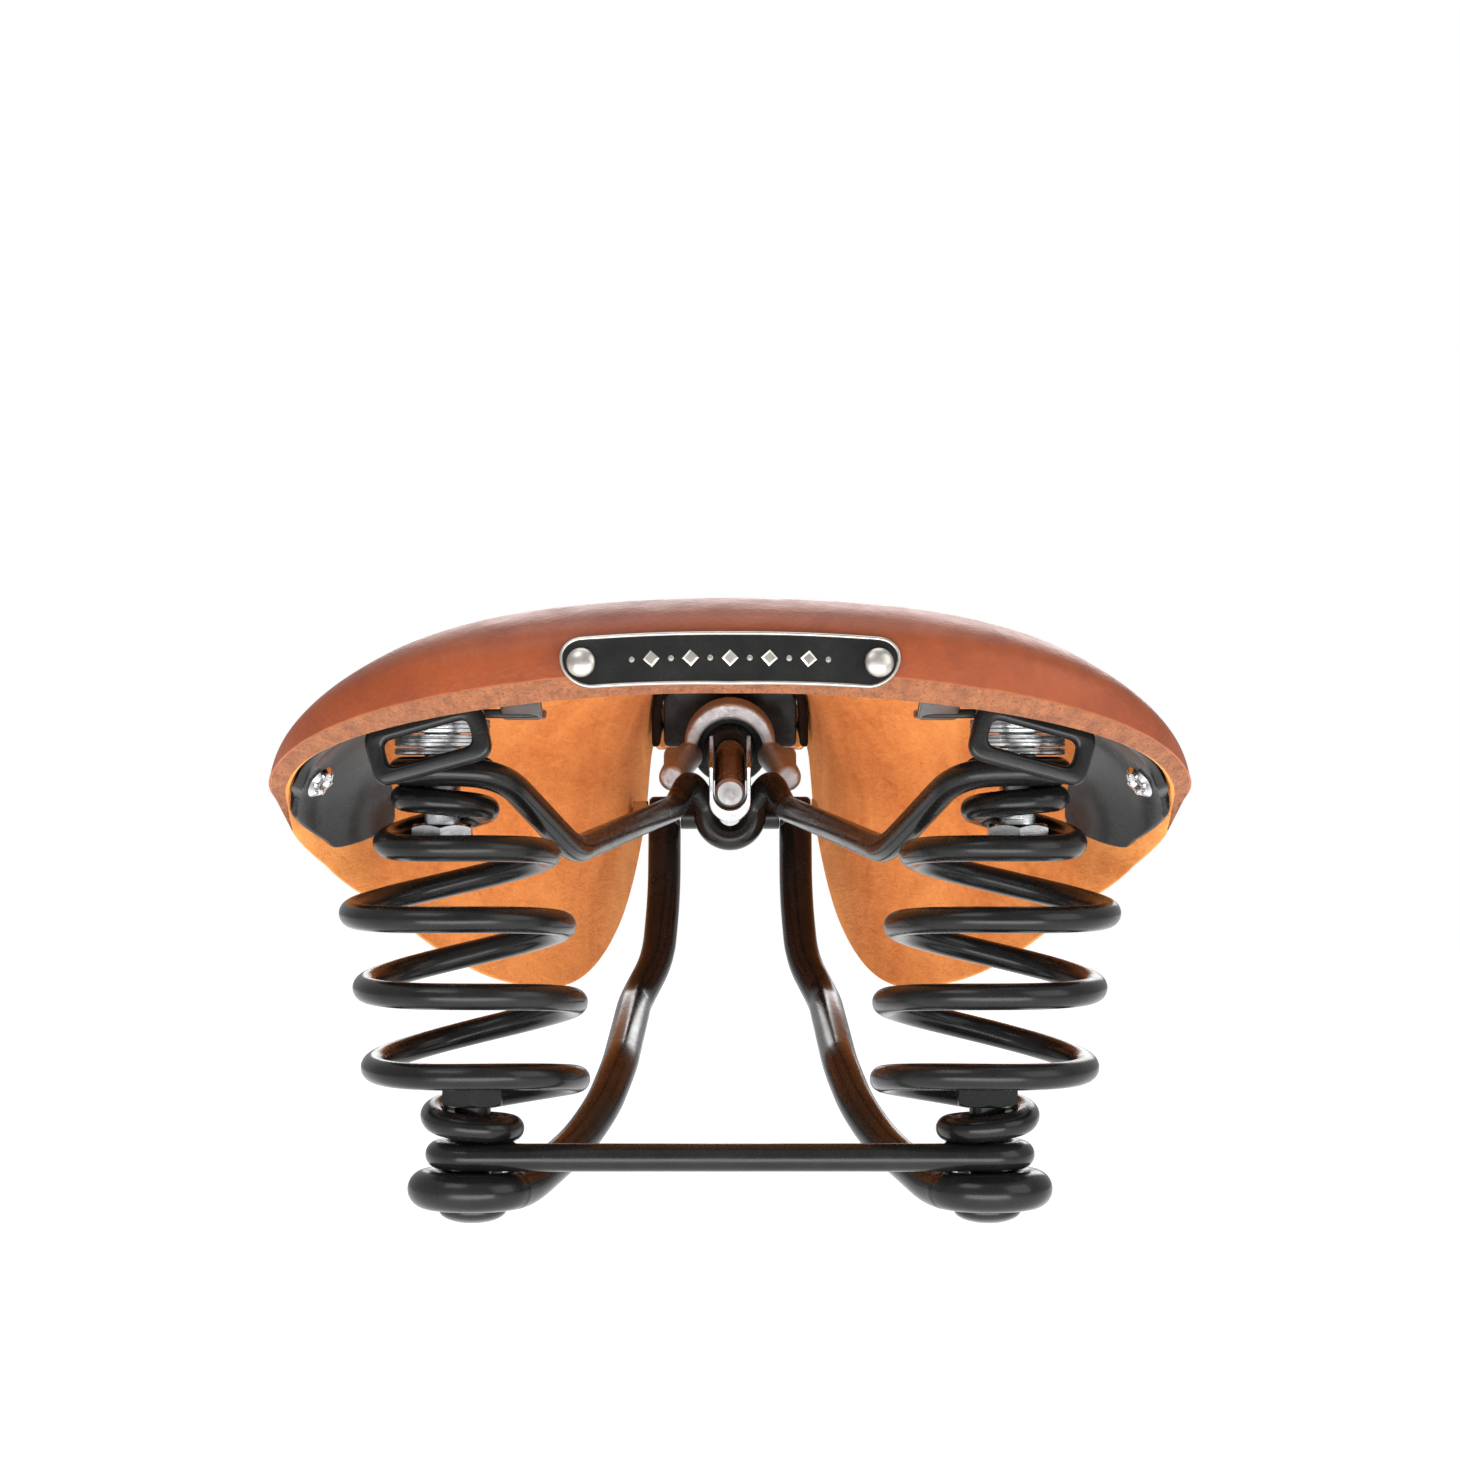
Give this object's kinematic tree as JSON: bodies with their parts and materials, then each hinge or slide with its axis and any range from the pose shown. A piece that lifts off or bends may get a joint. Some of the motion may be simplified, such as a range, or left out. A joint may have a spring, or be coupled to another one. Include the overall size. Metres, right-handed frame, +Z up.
{
  "type": "bicycle saddle",
  "caption": "Sprung leather bicycle saddle: riveted leather top on a hinged rod frame with two flared coil springs, nose tension bolt, bag loops and twin rails.",
  "frame": {"origin": "midway between the two seat rails at the middle of their clamp section", "axes": "+X to the rider's right, +Y forward to the nose, +Z up"},
  "size_m": [0.208, 0.2614, 0.1377],
  "materials": {
    "leather": "satin honey-tan hide, suede flesh side",
    "enamel": "gloss black stove enamel",
    "zinc": "bright zinc plate",
    "casting": "galvanised casting, finely textured",
    "badge": "black enamel with a raised nickel border",
    "rivet": "satin nickel"
  },
  "bodies": {
    "lower_frame": {"rail_left": "enamel", "rail_right": "enamel", "rear_crossbar": "enamel", "hinge_bolt": "zinc", "hinge_nut": "zinc", "hinge_spacer_left": "enamel", "hinge_spacer_right": "enamel", "spring_left": "enamel", "spring_right": "enamel", "lower_bolt_left": "enamel", "lower_bolt_right": "enamel", "lower_nut_left": "enamel", "lower_nut_right": "enamel"},
    "upper_frame": {"upper_frame_rod": "enamel", "cantle_plate": "enamel", "bag_loop_left": "enamel", "bag_loop_right": "enamel", "upper_bolt_left": "zinc", "upper_bolt_right": "zinc", "upper_nut_left": "zinc", "upper_nut_right": "zinc", "upper_washer_left": "zinc", "upper_washer_right": "zinc", "upper_spacer_left": "zinc", "upper_spacer_right": "zinc", "upper_clamp_disc_left": "zinc", "upper_clamp_disc_right": "zinc", "leather_cover": "leather", "badge_plate": "badge", "badge_rivet_left": "rivet", "badge_rivet_right": "rivet", "wing_rivet_left": "rivet", "wing_rivet_right": "rivet", "shackle": "zinc", "nose_bracket": "casting"},
    "tension_nut": {"tension_nut": "enamel"},
    "nose_slider": {"tension_bolt": "zinc", "nose_piece": "enamel", "nose_rivet_1": "rivet", "nose_rivet_2": "rivet", "nose_rivet_3": "rivet", "nose_rivet_4": "rivet", "nose_rivet_5": "rivet"}
  },
  "joints": [
    {"name": "nose_pivot", "type": "hinge", "parent": "lower_frame", "child": "upper_frame", "pos_m": [0, 0.074, 0.0513], "axis": [1, 0, 0], "range_deg": [0, 7], "stiffness_Nm_per_rad": 1650, "deforming": ["spring_left", "spring_right"]},
    {"name": "tension_nut_turn", "type": "hinge", "parent": "upper_frame", "child": "tension_nut", "pos_m": [0, 0.054, 0.0576], "axis": [0, 0.9588, 0.284], "range_deg": [0, 1460]},
    {"name": "tension_bolt_slide", "type": "slide", "parent": "upper_frame", "child": "nose_slider", "axis": [0, 0.9588, 0.284], "range_m": [0, 0.005], "deforming": ["leather_cover"]}
  ],
  "couplings": [
    {"joint": "tension_nut_turn", "follows": "tension_bolt_slide", "rad_per_m": 5026.5}
  ]
}
